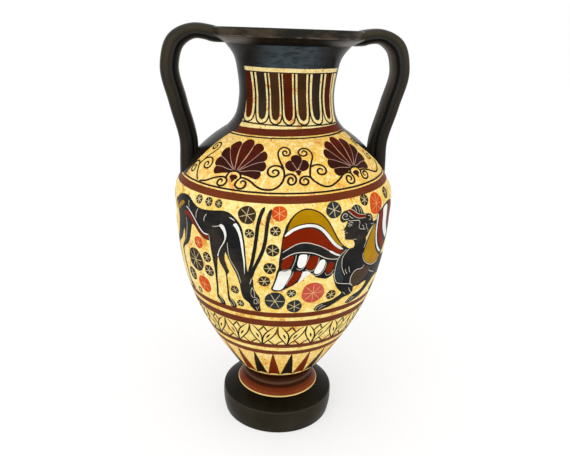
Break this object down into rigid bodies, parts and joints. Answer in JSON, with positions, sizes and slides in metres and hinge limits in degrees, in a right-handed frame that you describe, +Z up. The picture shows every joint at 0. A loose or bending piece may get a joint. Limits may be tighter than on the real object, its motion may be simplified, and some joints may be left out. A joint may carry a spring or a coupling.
{
  "type": "neck amphora",
  "caption": "Two-handled ceramic neck amphora with an ovoid body, flared lip, disc foot and painted animal frieze, for holding liquids or for display.",
  "frame": {"origin": "centre of the foot's underside, on the turning axis, on the surface that the amphora stands on", "axes": "+Z up along the turning axis to the mouth; +X through one handle and -X through the other; -Y and +Y face the two painted sides"},
  "size_m": [0.2346, 0.2132, 0.4028],
  "materials": {
    "black_gloss": "black slip with a soft sheen",
    "brown_slip": "red-brown slip with a soft sheen",
    "painted_slip": "yellow ground slip with painted bands and figures",
    "bare_clay": "unglazed fired clay"
  },
  "bodies": {
    "root": {"foot_disc": "black_gloss", "foot_luting_coil": "bare_clay", "foot_stem": "brown_slip", "body_lower": "painted_slip", "body_upper": "painted_slip", "belly_luting_coil": "bare_clay", "neck": "painted_slip", "neck_luting_coil": "bare_clay", "lip": "black_gloss", "handle_left": "black_gloss", "handle_left_lip_wad": "black_gloss", "handle_left_root_pad": "black_gloss", "handle_right": "black_gloss", "handle_right_lip_wad": "black_gloss", "handle_right_root_pad": "black_gloss"}
  },
  "joints": []
}
